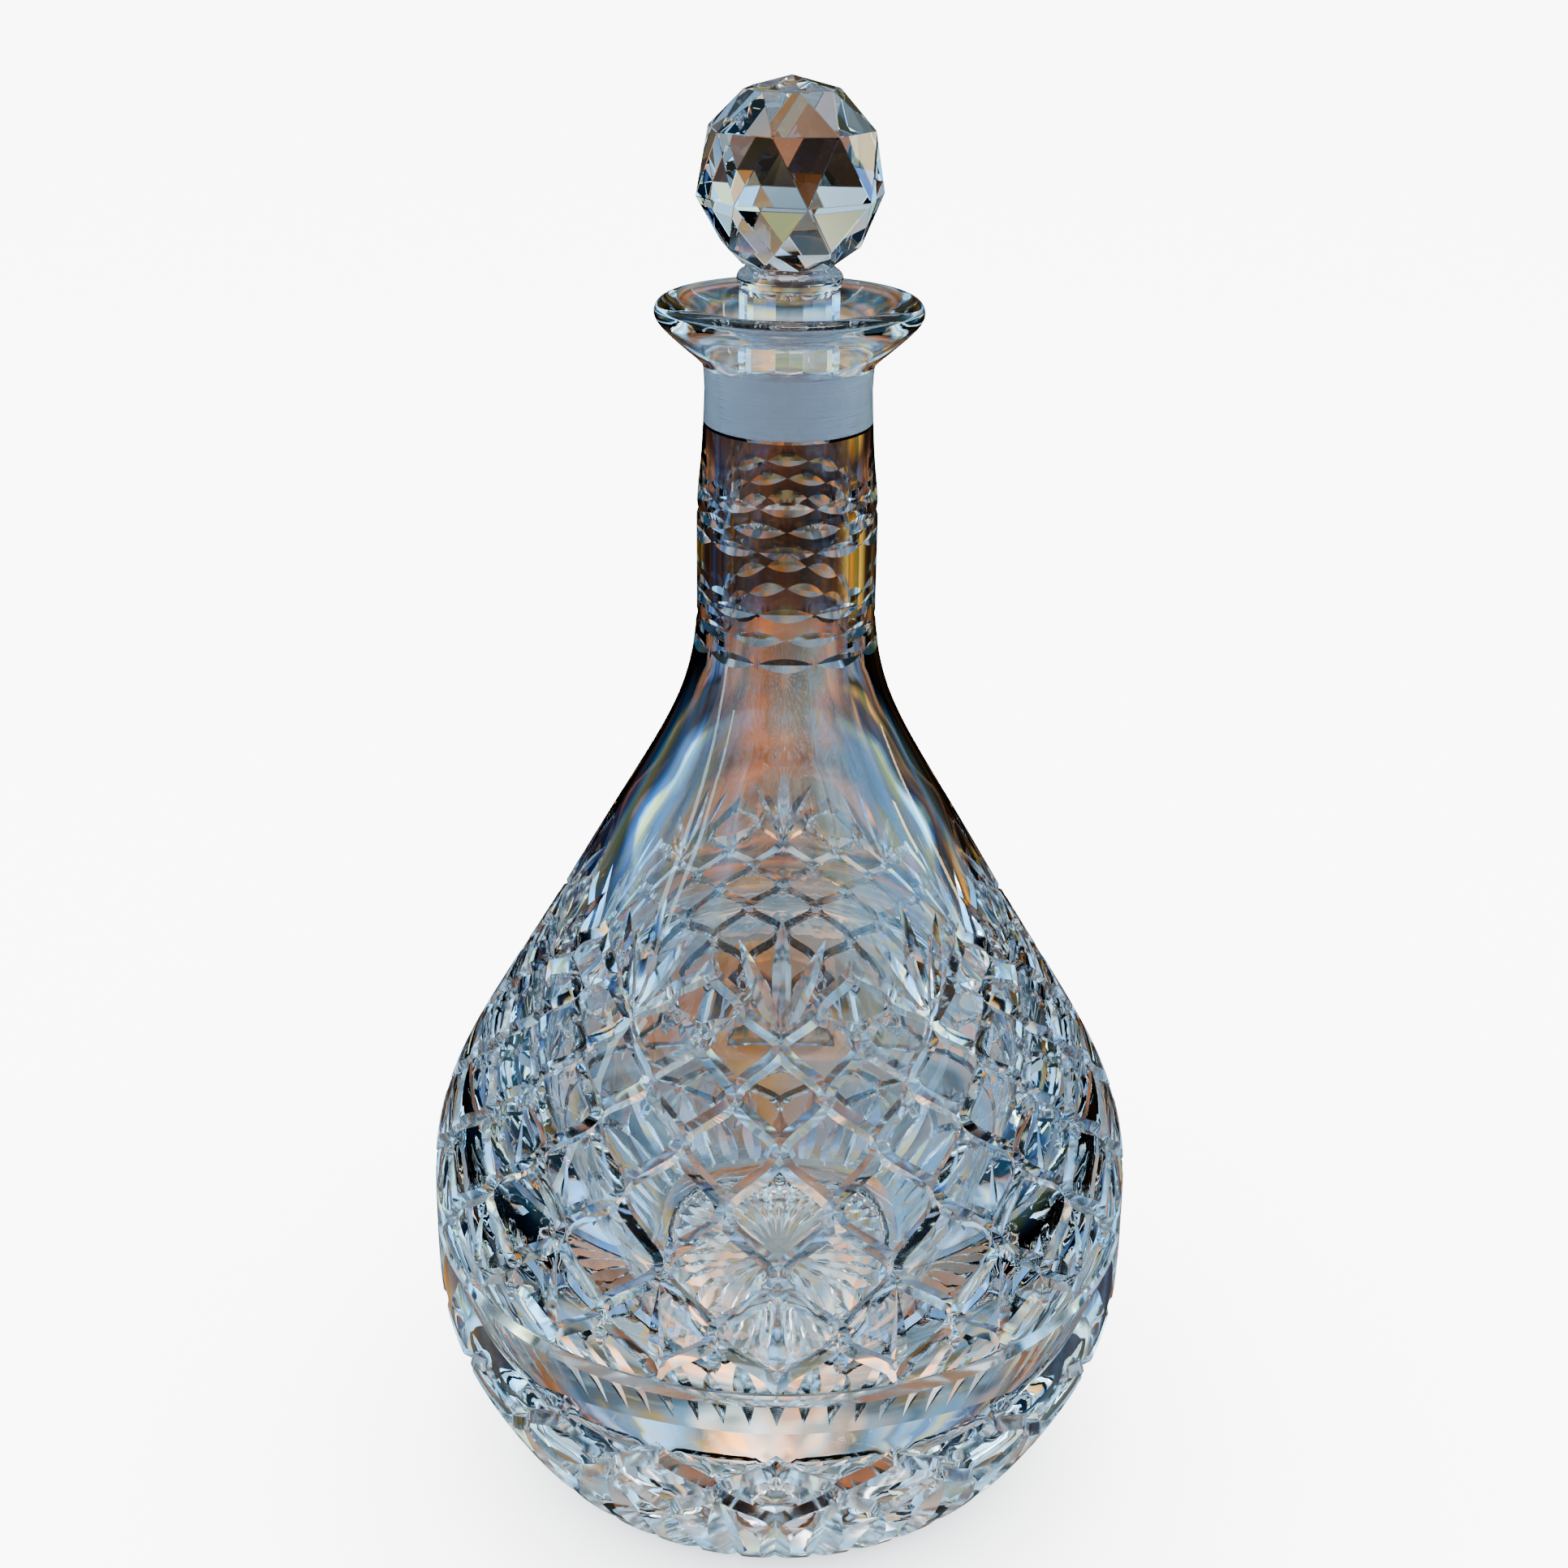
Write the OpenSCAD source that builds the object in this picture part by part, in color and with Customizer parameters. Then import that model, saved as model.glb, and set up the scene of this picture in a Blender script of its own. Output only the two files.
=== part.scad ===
// Cut crystal decanter: a one-piece blown and wheel-cut glass body, and a one-piece
// cut ball stopper whose ground plug sits in the ground throat of the neck.
// Origin: centre of the resting face. +Z up, along the axis of the neck.

/* [Body] */
// Widest diameter of the belly
belly_d = 140; // [130:1:150]
// Lower height at which the belly reaches its full width
belly_low_z = 43; // [40:1:46]
// Upper height at which the belly still has its full width
belly_high_z = 62; // [60:1:64]
// Outside diameter of the foot
foot_d = 90; // [84:1:96]
// Inside diameter of the flat ring that the body rests on
foot_ring_id = 72; // [66:1:76]
// Rise of the hollow underside at its centre
punt_h = 6; // [5:0.5:7]
// Thickness of the solid base at the centre
base_t = 18; // [16:1:20]
// Widest diameter of the bowl inside; the wall is thick from here down
bowl_d = 102; // [98:1:105]
// Height at which the bowl inside is widest
bowl_mid_z = 74; // [70:1:77]

/* [Neck and lip] */
// Outside diameter of the neck
neck_d = 32.8; // [31.6:0.2:34]
// Height at which the shoulder has become the neck
neck_low_z = 182; // [179:1:184]
// Height of the waist under the lip
waist_z = 223; // [222:0.5:224]
// Outside diameter of the waist under the lip
waist_d = 29.8; // [29:0.1:30.4]
// Outside diameter of the lip
lip_d = 47.4; // [45:0.2:49]
// Height of the body without its stopper
lip_z = 238.8; // [238:0.2:240]
// Diameter of the bore through the neck
bore_d = 23.2; // [22:0.1:23.4]

/* [Ground joint] */
// Height of the bottom end of the ground throat
throat_low_z = 216.5; // [215:0.5:218]
// Length of the ground throat
throat_len = 11; // [9:0.5:11.5]
// Diameter of the throat at its narrow end
throat_low_d = 23.7; // [23.5:0.1:24]
// Diameter of the throat at its wide end
throat_high_d = 24.7; // [24.4:0.1:25]
// Gap between plug and throat, on the radius
joint_gap = 0.05; // [0.02:0.01:0.1]

/* [Stopper] */
// Diameter of the faceted ball, over its points
ball_d = 33.4; // [31:0.2:35]
// Height of the ball's centre with the stopper seated
ball_z = 259.2; // [258:0.2:260.5]
// Facets in one row around the ball
ball_facets = 8; // [7:1:10]
// Turn of the ball about its stem, in degrees
ball_turn = -12.5; // [-22.5:0.5:22.5]
// Width of the stem across its flats
stem_d = 16.2; // [15:0.2:17.4]
// Upright flats around the stem
stem_flats = 8; // [6:1:10]
// Diameter of the collar under the ball
collar_d = 18.6; // [17:0.2:20]

/* [Cuts] */
// Fans around the shoulder
fans = 10; // [8:1:12]
// Height at which each fan of leaves starts
fan_z = 117.5; // [116:0.5:119]
// Length of the middle leaf of a fan
leaf_len = 21; // [16:0.5:22]
// Depth of a leaf cut at its middle
leaf_depth = 0.8; // [0.4:0.1:1]
// Width of the cone that cuts a leaf
leaf_w = 3; // [2.4:0.1:3.6]
// Turn of the side leaves away from the middle one, in degrees
leaf_fan = 23; // [15:1:28]
// Rays of the star cut into the underside
star_rays = 20; // [12:2:24]
// Depth of a star ray at its middle
star_depth = 1.4; // [1:0.1:1.4]
// Height of the mitre ring around the belly
ring_z = 58; // [56:0.5:60]
// Width of the mitre ring at the surface
ring_w = 2.6; // [1.5:0.1:3]
// Height of the lower band of lens cuts on the neck
low_band_z = 181.5; // [181:0.1:182]
// Height of the upper band of lens cuts on the neck
high_band_z = 201.4; // [200.5:0.1:202]
// Height between rows of lens cuts in the lower band
low_band_pitch = 4.6; // [4.4:0.1:4.8]
// Height between rows of lens cuts in the upper band
high_band_pitch = 3.9; // [3.7:0.1:4.1]
// Lens cuts in one row around the neck
lenses = 10; // [8:1:12]
// Length of one lens cut
lens_len = 9.6; // [8:0.2:9.8]
// Height of one lens cut
lens_h = 2.9; // [2:0.1:3.2]

/* [Output] */
// Node to draw

/* [Hidden] */
$fn = 96;

belly_r = belly_d / 2;
foot_r = foot_d / 2;
neck_r = neck_d / 2;
waist_r = waist_d / 2;
lip_r = lip_d / 2;
bore_r = bore_d / 2;
throat_high_z = throat_low_z + throat_len;

// Heel curve: [share of the height, share of the step in radius] from foot to belly
heel_shares = [[0.012, 0.03], [0.045, 0.115], [0.1, 0.235], [0.2, 0.4], [0.35, 0.575],
    [0.52, 0.735], [0.68, 0.862], [0.83, 0.95], [1, 0.995]];
// Shoulder curve: [share of the height, share of the step in radius] from belly to neck
shoulder_shares = [[0.045, 0.995], [0.09, 0.983], [0.135, 0.958], [0.19, 0.91], [0.23, 0.866],
    [0.28, 0.803], [0.367, 0.687], [0.466, 0.554], [0.562, 0.431], [0.652, 0.315],
    [0.7, 0.252], [0.75, 0.187], [0.79, 0.137], [0.83, 0.092], [0.87, 0.054],
    [0.92, 0.022], [0.96, 0.007], [1, 0]];

function heel(u, v) = [foot_r + v * (belly_r - foot_r), u * belly_low_z];
function shoulder(u, v) =
    [neck_r + v * (belly_r - neck_r), belly_high_z + u * (neck_low_z - belly_high_z)];
function lip_point(share, drop) = [waist_r + share * (lip_r - waist_r), lip_z - drop];

// Bowl inside, above its widest height: [share of the height, share of the step in radius]
bowl_high_shares = [[0.922, 0.005], [0.866, 0.033], [0.81, 0.081], [0.755, 0.15], [0.689, 0.239],
    [0.599, 0.378], [0.505, 0.508], [0.41, 0.632], [0.34, 0.761], [0.283, 0.838], [0.217, 0.909],
    [0.151, 0.959], [0.075, 0.99], [0, 1]];
// Bowl inside, below its widest height: [share of the height, share of the radius]
bowl_low_shares = [[0.84, 0.99], [0.68, 0.965], [0.54, 0.925], [0.43, 0.878], [0.334, 0.827],
    [0.24, 0.776], [0.152, 0.725], [0.074, 0.678], [0.024, 0.627], [0.004, 0.559], [0, 0.471],
    [0, 0.235]];

bowl_r = bowl_d / 2;
floor_z = punt_h + base_t;
function bowl_high(u, v) =
    [bore_r + v * (bowl_r - bore_r), bowl_mid_z + u * (neck_low_z - 2 - bowl_mid_z)];
function bowl_low(u, v) = [v * bowl_r, floor_z + u * (bowl_mid_z - floor_z)];
cavity = concat(
    [for (p = bowl_high_shares) bowl_high(p[0], p[1])],
    [for (p = bowl_low_shares) bowl_low(p[0], p[1])],
    [[0, floor_z]]
);

outline = concat(
    [[0, punt_h], [foot_ring_id / 4, punt_h * 0.95], [foot_ring_id / 2 - 3.5, punt_h * 0.75],
        [foot_ring_id / 2, 0], [foot_r - 0.6, 0]],
    [for (p = heel_shares) heel(p[0], p[1])],
    [[belly_r, (belly_low_z + belly_high_z) / 2], [belly_r - 0.15, belly_high_z]],
    [for (p = shoulder_shares) shoulder(p[0], p[1])],
    [[neck_r, 200], [neck_r - 0.25, 205], [neck_r - 0.8, 210], [waist_r + 0.25, 217],
        [waist_r, waist_z]],
    [lip_point(0.03, 11.6), lip_point(0.18, 10), lip_point(0.39, 8.4), lip_point(0.62, 6.6),
        lip_point(0.82, 4.9), lip_point(0.95, 3.5), lip_point(1, 2.3), lip_point(0.96, 1.1),
        lip_point(0.85, 0.3), lip_point(0.7, 0), [18.6 + 0.8, lip_z - 0.1], [18.6, lip_z - 0.6]],
    [[17, lip_z - 2], [15.2, lip_z - 4.2], [13.6, lip_z - 7], [12.7, lip_z - 9.6],
        [throat_high_d / 2, throat_high_z], [throat_low_d / 2, throat_low_z],
        [bore_r, throat_low_z - 0.6], [bore_r, neck_low_z - 2]],
    cavity
);

// A mitred leaf cut: two slim pyramids base to base along local Z, an edge facing inwards
module leaf_cutter(length, width, depth) {
    translate([width / 2 - depth, 0, 0])
        for (side = [0, 1])
            mirror([0, 0, side])
                cylinder(r1 = width / 2, r2 = 0, h = length / 2, $fn = 4);
}

// Two points of the shoulder between which the fans lie, and its slope there
fan_low = shoulder(0.466, 0.554);
fan_high = shoulder(0.652, 0.315);
fan_slope = atan2(fan_low[0] - fan_high[0], fan_high[1] - fan_low[1]);

// One leaf of a fan, turned by the given angle about the start of the fan
module leaf(turn, length) {
    start_r = fan_low[0] + (fan_low[1] - fan_z) * tan(fan_slope) + 0.1;
    translate([start_r, 0, fan_z])
        rotate([0, -fan_slope, 0])
            rotate([turn, 0, 0])
                translate([0, 0, length / 2 + 1])
                    leaf_cutter(length, leaf_w, leaf_depth);
}

module fan_cuts() {
    for (k = [0 : fans - 1])
        rotate([0, 0, -90 + k * 360 / fans]) {
            leaf(0, leaf_len);
            for (side = [-1, 1])
                leaf(side * leaf_fan, leaf_len - 2);
        }
}

// Horizontal lens cuts: a thin round bar laid across the neck bites a lens out of it
module lens_row(z, r, turn) {
    bite = r - sqrt(r * r - lens_len * lens_len / 4);
    bar_r = (lens_h * lens_h / 4 + bite * bite) / (2 * bite);
    for (k = [0 : lenses - 1])
        rotate([0, 0, -90 + turn + k * 360 / lenses])
            translate([r - bite + bar_r, 0, z])
                rotate([90, 0, 0])
                    cylinder(r = bar_r, h = lens_len * 1.4, center = true);
}

module neck_cuts() {
    stagger = 180 / lenses;
    for (row = [-1 : 1]) {
        turn = row == 0 ? 0 : stagger;
        lens_row(low_band_z + row * low_band_pitch, neck_r + (row == -1 ? 0.4 : 0), turn);
        lens_row(high_band_z + row * high_band_pitch, neck_r, turn);
    }
}

module ring_cut() {
    depth = ring_w * 0.45;
    rotate_extrude()
        polygon([[belly_r - depth, ring_z], [belly_r + 1, ring_z - ring_w * 0.9],
            [belly_r + 1, ring_z + ring_w * 0.9]]);
}

// Rays of the star under the base, laid along the slope of the hollow underside
module star_cuts() {
    ray_in = 7;
    ray_out = foot_ring_id / 2 - 5;
    ray_w = 3;
    slope = atan2(punt_h * 0.21, ray_out - ray_in);
    for (k = [0 : star_rays - 1])
        rotate([0, 0, (k + 0.5) * 360 / star_rays])
            translate([(ray_in + ray_out) / 2, 0, punt_h * 0.875])
                rotate([0, 90 + slope, 0])
                    leaf_cutter(ray_out - ray_in, ray_w, star_depth);
}

module decanter_body() {
    color([0.88, 0.93, 0.97, 0.5])
        difference() {
            rotate_extrude()
                polygon(outline);
            ring_cut();
            neck_cuts();
            fan_cuts();
            star_cuts();
        }
}

// Rings of corners on the ball: [angle from the top, turn in facet pitches]
ball_rings = [[30, 0.5], [61, 0], [100, 0.5], [132, 0], [150, 0.5]];
function on_ball(tilt, turn) =
    ball_d / 2 * [sin(tilt) * cos(turn), sin(tilt) * sin(turn), cos(tilt)];
function corner(ring, k) = 1 + ring * ball_facets + (k + ball_facets) % ball_facets;
function lead(ring) = ball_rings[ring][1] > ball_rings[ring + 1][1] ? 1 : 0;

// Three-sided facets between neighbouring rings, closed by a point above and a flat below
module faceted_ball() {
    last = len(ball_rings) - 1;
    pitch = 360 / ball_facets;
    corners = concat(
        [[0, 0, ball_d / 2]],
        [for (ring = ball_rings) for (k = [0 : ball_facets - 1])
            on_ball(ring[0], (k + ring[1]) * pitch)]
    );
    crown = [for (k = [0 : ball_facets - 1]) [0, corner(0, k + 1), corner(0, k)]];
    pointing_down = [for (i = [0 : last - 1]) for (k = [0 : ball_facets - 1])
        [corner(i, k), corner(i, k + 1), corner(i + 1, k + lead(i))]];
    pointing_up = [for (i = [0 : last - 1]) for (k = [0 : ball_facets - 1])
        [corner(i, k), corner(i + 1, k + lead(i)), corner(i + 1, k + lead(i) - 1)]];
    base = [[for (k = [0 : ball_facets - 1]) corner(last, k)]];
    rotate([0, 0, -90 + ball_turn])
        polyhedron(points = corners, faces = concat(crown, pointing_down, pointing_up, base));
}

module stopper() {
    plug_low = throat_low_d / 2 - joint_gap;
    plug_high = throat_high_d / 2 - joint_gap;
    stem_r = stem_d / 2;
    ball_foot = ball_z - ball_d / 2 + 1.6;
    stem_low = throat_high_z + 1.5;
    color([0.9, 0.95, 1, 0.5])
        union() {
            translate([0, 0, ball_z])
                faceted_ball();
            // stem with upright flats
            translate([0, 0, stem_low])
                rotate([0, 0, 180 / stem_flats])
                    cylinder(r = stem_r / cos(180 / stem_flats), h = ball_foot - 2 - stem_low,
                        $fn = stem_flats);
            rotate_extrude()
                polygon([[0, ball_foot - 3.6], [stem_r, ball_foot - 3.6],
                    [collar_d / 2 - 0.3, ball_foot - 2.6], [collar_d / 2, ball_foot - 1.7],
                    [collar_d / 2 - 0.3, ball_foot - 0.8], [stem_r - 0.4, ball_foot],
                    [stem_r - 1, ball_foot + 2], [0, ball_foot + 2]]);
            rotate_extrude()
                polygon([[0, throat_low_z], [plug_low - 1, throat_low_z],
                    [plug_low + 0.02, throat_low_z + 0.4], [plug_high, throat_high_z],
                    [plug_high - 0.7, throat_high_z + 0.9], [stem_r + 1.4, throat_high_z + 2],
                    [stem_r - 1, throat_high_z + 2.6], [0, throat_high_z + 2.6]]);
        }
}

decanter_body();
stopper();
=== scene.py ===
"""Cut crystal decanter: a wheel-cut glass body and a faceted ball stopper, dressed for looks.

Sizes in the classes are in millimetres, as in the part's source; meshes are made in metres.
"""

import logging
import math
from dataclasses import dataclass, field
from enum import Enum
from typing import ClassVar

import bmesh
import bpy
import numpy as np
from mathutils import Matrix
from mathutils.geometry import delaunay_2d_cdt


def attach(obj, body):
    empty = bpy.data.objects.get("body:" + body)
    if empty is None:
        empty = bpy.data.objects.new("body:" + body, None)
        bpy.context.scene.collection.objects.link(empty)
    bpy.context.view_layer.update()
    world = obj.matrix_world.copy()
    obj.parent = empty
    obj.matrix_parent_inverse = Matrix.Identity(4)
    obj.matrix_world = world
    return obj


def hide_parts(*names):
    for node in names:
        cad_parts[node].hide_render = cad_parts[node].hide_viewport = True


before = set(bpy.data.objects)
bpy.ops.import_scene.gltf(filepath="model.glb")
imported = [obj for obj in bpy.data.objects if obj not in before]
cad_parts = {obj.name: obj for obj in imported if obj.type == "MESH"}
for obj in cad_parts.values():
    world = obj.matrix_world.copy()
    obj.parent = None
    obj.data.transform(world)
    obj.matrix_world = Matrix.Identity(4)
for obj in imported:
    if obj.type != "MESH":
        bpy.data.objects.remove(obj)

LOG = logging.getLogger("decanter")
MM = 0.001
SECTOR = 18.0  # half of one repeat of the cut pattern, in degrees
REPEATS = 10
STEP_DEG = 1.5  # turn between two upright lines of a turned surface
ROUND = int(360 / STEP_DEG)

CENTRE_HEIGHT = 0.12  # metres; where the lights aim

Array = np.ndarray
Point = tuple[float, float]
Colour = tuple[float, float, float]
Stops = tuple[tuple[float, Colour], ...]
Patch = tuple[Array, Array, int | Array]


# ---------------------------------------------------------------- curves


def smooth_between(t: Array, y: Array, x: Array) -> Array:
    """Cubic through the points (t, y) that never swings past them.

    Formula: on each span, the cubic Hermite curve whose end slopes are the weighted harmonic
    mean of the slopes of the two chords that meet there, or nought where they change sign.

    Args:
        t: Rising parameter of the known points.
        y: Known values.
        x: Parameters at which to work the curve out.

    Returns:
        The curve's values at x.
    """
    h = np.diff(t)
    d = np.diff(y) / h
    m = np.empty_like(y)
    m[0], m[-1] = d[0], d[-1]
    w1, w2 = 2 * h[1:] + h[:-1], h[1:] + 2 * h[:-1]
    same = d[:-1] * d[1:] > 1e-12
    a, b = np.where(same, d[:-1], 1.0), np.where(same, d[1:], 1.0)
    m[1:-1] = np.where(same, (w1 + w2) / (w1 / a + w2 / b), 0.0)
    i = np.clip(np.searchsorted(t, x, side="right") - 1, 0, len(h) - 1)
    s = (x - t[i]) / h[i]
    return (
        y[i] * (1 + 2 * s) * (1 - s) ** 2
        + m[i] * h[i] * s * (1 - s) ** 2
        + y[i + 1] * s * s * (3 - 2 * s)
        + m[i + 1] * h[i] * s * s * (s - 1)
    )


def along(points: Array) -> Array:
    """Distance along a line of points, from its first point."""
    return np.concatenate([[0.0], np.cumsum(np.hypot(*np.diff(points, axis=0).T))])


def even_curve(points: Array, step: float, soften: float = 0.0) -> Array:
    """A smooth line through [radius, height] points, with its points evenly spaced.

    Formula: both coordinates follow smooth_between over the distance along the chords, then a
    running bell-shaped mean evens out changes of curvature, and the line is spaced again.

    Args:
        points: Known points, n by 2.
        step: Rough spacing wanted.
        soften: Half-width of the running mean, or nought for none.

    Returns:
        The points of the line, with both ends kept.
    """
    t = along(points)
    fine = np.linspace(0, t[-1], max(8, int(t[-1] / 0.25)))
    line = np.stack([smooth_between(t, points[:, k], fine) for k in (0, 1)], axis=1)
    if soften > 0:
        gap = fine[1] - fine[0]
        reach = int(3 * soften / gap)
        bell = np.exp(-0.5 * (np.arange(-reach, reach + 1) * gap / soften) ** 2)
        bell /= bell.sum()
        pad = np.concatenate(
            [2 * line[0] - line[reach:0:-1], line, 2 * line[-1] - line[-2 : -reach - 2 : -1]]
        )
        line = np.stack([np.convolve(pad[:, k], bell, "valid") for k in (0, 1)], axis=1)
    t = along(line)
    even = np.linspace(0, t[-1], max(2, int(round(t[-1] / step)) + 1))
    out = np.stack([np.interp(even, t, line[:, k]) for k in (0, 1)], axis=1)
    out[0], out[-1] = points[0], points[-1]
    return out


# ---------------------------------------------------------------- turned shape of the body


@dataclass(frozen=True)
class Outline:
    """The turned shape of the glass body, inside and out."""

    belly_r: float = 70.0
    belly_low_z: float = 43.0
    belly_high_z: float = 62.0
    foot_r: float = 45.0
    foot_edge: float = 0.6  # rounding at the outside of the foot ring
    ring_in_r: float = 36.0
    punt_h: float = 6.0
    punt_flat_r: float = 4.0  # flat middle of the hollow, inside the rays of the star
    floor_z: float = 24.0
    neck_r: float = 16.4
    neck_low_z: float = 182.0
    neck_mid_z: float = 191.5
    waist_z: float = 223.0
    waist_r: float = 14.9
    lip_r: float = 23.7
    lip_z: float = 238.8
    bore_r: float = 11.6
    throat_low: Point = (11.85, 216.5)
    throat_high: Point = (12.35, 227.5)
    # the bowl inside, from the foot of the neck bore down to its floor
    bowl: tuple[Point, ...] = (
        (11.6, 180.0), (11.8, 171.7), (12.9, 165.8), (14.8, 159.9), (17.5, 154.0), (21.0, 147.0),
        (26.5, 137.5), (31.6, 127.5), (36.5, 117.5), (41.6, 110.0), (44.6, 104.0), (47.4, 97.0),
        (49.4, 90.0), (50.6, 82.0), (51.0, 74.0), (50.5, 66.0), (49.2, 58.0), (47.2, 51.0),
        (44.8, 45.5), (42.2, 40.7), (39.6, 36.0), (37.0, 31.6), (34.6, 27.7), (32.0, 25.2),
        (28.5, 24.2), (24.0, 24.0), (12.0, 24.0),
    )

    def underside(self) -> Array:
        """Hollow under the base, from near its centre out to the foot ring.

        Returns:
            The line's [radius, height] points, running outwards.
        """
        points = [
            (self.punt_flat_r, self.punt_h), (self.ring_in_r / 2, self.punt_h * 0.95),
            (self.ring_in_r - 3.5, self.punt_h * 0.75), (self.ring_in_r, 0.05),
        ]
        return even_curve(np.array(points), 0.8)

    def side(self) -> Array:
        """Outer wall, from the edge of the foot to the middle of the neck.

        Formula: shares of the heel's and the shoulder's rise and reach, joined by the belly.

        Returns:
            The line's [radius, height] points, running upwards.
        """
        heel = [
            (0, 0.0), (0.012, 0.03), (0.045, 0.115), (0.1, 0.235), (0.2, 0.4), (0.35, 0.575),
            (0.52, 0.735), (0.68, 0.862), (0.83, 0.95), (1, 0.995),
        ]
        shoulder = [
            (0.045, 0.995), (0.09, 0.983), (0.135, 0.958), (0.19, 0.91), (0.23, 0.866),
            (0.28, 0.803), (0.367, 0.687), (0.466, 0.554), (0.562, 0.431), (0.652, 0.315),
            (0.7, 0.252), (0.75, 0.187), (0.79, 0.137), (0.83, 0.092), (0.87, 0.054),
            (0.92, 0.022), (0.96, 0.007), (1, 0),
        ]
        low = [
            (self.foot_r + v * (self.belly_r - self.foot_r), u * self.belly_low_z) for u, v in heel
        ]
        low[0] = (self.foot_r - self.foot_edge, 0.0)
        rise = self.neck_low_z - self.belly_high_z
        high = [
            (self.neck_r + v * (self.belly_r - self.neck_r), self.belly_high_z + u * rise)
            for u, v in shoulder
        ]
        middle = [
            (self.belly_r, (self.belly_low_z + self.belly_high_z) / 2),
            (self.belly_r - 0.15, self.belly_high_z),
        ]
        top = [(self.neck_r, self.neck_mid_z)]
        line = even_curve(np.array(low + middle + high + top), 0.5, soften=2.5)
        line[:, 0] = np.minimum(line[:, 0], self.belly_r)
        line[:, 1] = np.maximum(line[:, 1], 0.0)
        return line

    def neck(self) -> Array:
        """Outer wall, from the middle of the neck to the waist under the lip.

        Returns:
            The line's [radius, height] points, running upwards.
        """
        points = [
            (self.neck_r, self.neck_mid_z), (self.neck_r, 200), (self.neck_r - 0.25, 205),
            (self.neck_r - 0.8, 210), (self.waist_r + 0.25, 217), (self.waist_r, self.waist_z),
        ]
        return even_curve(np.array(points), 0.5, soften=1.5)

    def lip(self) -> Array:
        """Flare under the lip, its rounded rim, and the funnel down to the ground throat.

        Returns:
            The line's [radius, height] points, running up and then inwards and down.
        """
        step = self.lip_r - self.waist_r
        shares = [
            (0, self.lip_z - self.waist_z), (0.03, 11.6), (0.18, 10), (0.39, 8.4), (0.62, 6.6),
            (0.82, 4.9), (0.95, 3.5), (1, 2.3), (0.96, 1.1), (0.85, 0.3), (0.7, 0),
        ]
        points = [(self.waist_r + u * step, self.lip_z - drop) for u, drop in shares]
        points += [(19.4, self.lip_z - 0.1), (18.6, self.lip_z - 0.6), (17, self.lip_z - 2)]
        points += [(15.2, self.lip_z - 4.2), (13.6, self.lip_z - 7), (12.7, self.lip_z - 9.6)]
        points.append(self.throat_high)
        return even_curve(np.array(points), 0.45, soften=0.35)

    def inside(self) -> tuple[Array, Array]:
        """Ground throat, and the bore and bowl below it down to the middle of its floor.

        Returns:
            The throat's points and those of the bore and bowl, both running downwards.
        """
        throat = even_curve(np.array([self.throat_high, self.throat_low]), 1.0)
        points = [(self.bore_r, self.throat_low[1] - 0.6), (self.bore_r, 200)]
        points += list(self.bowl)
        points.append((0.6, self.floor_z))
        return throat, even_curve(np.array(points), 2.6, soften=2.0)


class Strip:
    """A band of the outer wall, laid flat: turn in degrees across, distance along the wall up."""

    def __init__(self, line: Array) -> None:
        """Keeps a line of [radius, height] points and what follows from it."""
        self.s = along(line)
        self.r = line[:, 0]
        self.z = line[:, 1]
        slope = np.gradient(line, self.s, axis=0)
        slope /= np.hypot(slope[:, 0], slope[:, 1])[:, None]
        self.slope = slope
        self.length = float(self.s[-1])

    def radius(self, s: Array) -> Array:
        """Radius at a distance along the wall."""
        return np.interp(s, self.s, self.r)

    def at_height(self, z: Array) -> Array:
        """Distance along the wall at a height, for a wall that only climbs."""
        return np.interp(z, self.z, self.s)

    def rows_at(self, heights: tuple[Point, ...]) -> tuple[tuple[float, ...], tuple[float, ...]]:
        """Rows of crossings, laid along the wall.

        Args:
            heights: Number and height of each row.

        Returns:
            The rows' numbers, and their distances along the wall.
        """
        rows = tuple(row for row, _ in heights)
        return rows, tuple(float(self.at_height(np.array(z))) for _, z in heights)

    def place(self, turn: Array, s: Array, depth: Array) -> Array:
        """Points in space, in metres, sunk below the wall by a depth.

        Formula: the wall's point at s moves against its outward normal by depth, then turns
        about +Z; a turn of nought faces -Y.

        Args:
            turn: Turns about +Z, in degrees.
            s: Distances along the wall.
            depth: Depths below the uncut wall.

        Returns:
            The points, n by 3.
        """
        out_r = np.interp(s, self.s, self.slope[:, 1])
        out_z = -np.interp(s, self.s, self.slope[:, 0])
        r = self.radius(s) - depth * out_r
        z = np.interp(s, self.s, self.z) - depth * out_z
        a = np.radians(turn)
        return np.stack([r * np.sin(a), -r * np.cos(a), z], axis=1) * MM


# ---------------------------------------------------------------- cuts of the wheel


@dataclass(frozen=True)
class Leaf:
    """Size of one kind of leaf cut."""

    half_width: float
    depth: float
    lean: float = 1.0  # above one, the leaf is fullest near its end


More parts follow.
